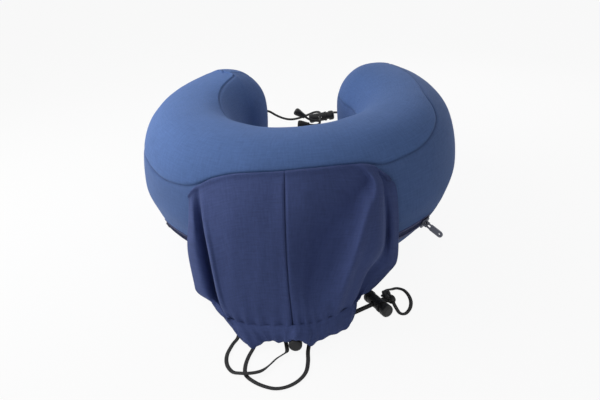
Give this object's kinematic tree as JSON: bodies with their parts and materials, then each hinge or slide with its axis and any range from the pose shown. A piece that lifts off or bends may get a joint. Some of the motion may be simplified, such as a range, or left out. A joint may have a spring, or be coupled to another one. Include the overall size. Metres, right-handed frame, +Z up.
{
  "type": "neck pillow",
  "caption": "U-shaped padded travel neck pillow in a zipped knit cover, with a drawstring storage pouch sewn behind the nape and an elastic front closure with cord locks.",
  "frame": {"origin": "on the neck's vertical axis, the centre of the ring, at the height of the surface that the pillow rests on", "axes": "+Z up along the neck, +Y towards the open side between the arm ends, +X to the wearer's left arm of the pillow as the pouch is looked at from behind"},
  "size_m": [0.29, 0.3611, 0.129],
  "materials": {
    "foam": "cream memory foam",
    "cover_top": "brushed stretch knit",
    "cover_side": "brushed stretch knit",
    "pouch_cloth": "fine woven polyester",
    "zip_tape": "dyed tape with moulded teeth",
    "zip_metal": "gunmetal",
    "lock_plastic": "black moulded",
    "elastic": "black woven elastic",
    "spring_steel": "bright wire"
  },
  "bodies": {
    "pillow": {"foam_core": "foam", "top_panel": "cover_top", "outer_panel": "cover_side", "inner_panel": "cover_side", "base_panel": "cover_side", "zip_upper_chain": "zip_tape", "zip_lower_chain": "zip_tape", "zip_stops": "zip_metal", "pouch_front_left": "pouch_cloth", "pouch_front_right": "pouch_cloth", "pouch_back": "pouch_cloth", "pouch_hem": "pouch_cloth", "front_lock_barrel": "lock_plastic", "front_lock_spring": "spring_steel", "side_knot": "elastic", "cord_end_left": "lock_plastic", "cord_end_right": "lock_plastic", "pouch_loop_left": "elastic", "pouch_loop_right": "elastic", "side_strand_upper": "elastic", "side_strand_lower": "elastic", "side_ring": "elastic", "closure_cord_left": "elastic", "closure_cord_right": "elastic"},
    "zip_slider": {"zip_slider": "zip_metal"},
    "zip_pull": {"zip_pull": "zip_metal"},
    "closure_lock": {"closure_lock_barrel": "lock_plastic", "closure_lock_spring": "spring_steel"},
    "closure_button": {"closure_lock_button": "lock_plastic"},
    "side_lock": {"side_lock_barrel": "lock_plastic", "side_lock_spring": "spring_steel"},
    "side_button": {"side_lock_button": "lock_plastic"},
    "front_button": {"front_lock_button": "lock_plastic"}
  },
  "joints": [
    {"name": "zip_slide", "type": "hinge", "parent": "pillow", "child": "zip_slider", "pos_m": [0, 0, 0], "axis": [0, 0, 1], "range_deg": [-103.2, 0]},
    {"name": "pull_swing", "type": "hinge", "parent": "zip_slider", "child": "zip_pull", "pos_m": [0.11092, -0.0879, 0.03572], "axis": [0.3005, -0.2381, 0.9236], "range_deg": [-80, 80]},
    {"name": "closure_lock_slide", "type": "slide", "parent": "pillow", "child": "closure_lock", "axis": [0, -1, 0], "range_m": [0, 0.008]},
    {"name": "closure_button_press", "type": "slide", "parent": "closure_lock", "child": "closure_button", "axis": [-0.9903, 0, -0.1392], "range_m": [0, 0.0026], "stiffness_N_per_m": 600, "springref_m": -0.003, "deforming": ["closure_lock_spring"]},
    {"name": "side_lock_slide", "type": "slide", "parent": "pillow", "child": "side_lock", "axis": [-0.829, -0.5592, 0], "range_m": [0, 0.008]},
    {"name": "side_button_press", "type": "slide", "parent": "side_lock", "child": "side_button", "axis": [-0.5592, 0.829, 0], "range_m": [0, 0.0026], "stiffness_N_per_m": 600, "springref_m": -0.003, "deforming": ["side_lock_spring"]},
    {"name": "front_button_press", "type": "slide", "parent": "pillow", "child": "front_button", "axis": [0, -1, 0], "range_m": [0, 0.0026], "stiffness_N_per_m": 600, "springref_m": -0.003, "deforming": ["front_lock_spring"]}
  ]
}
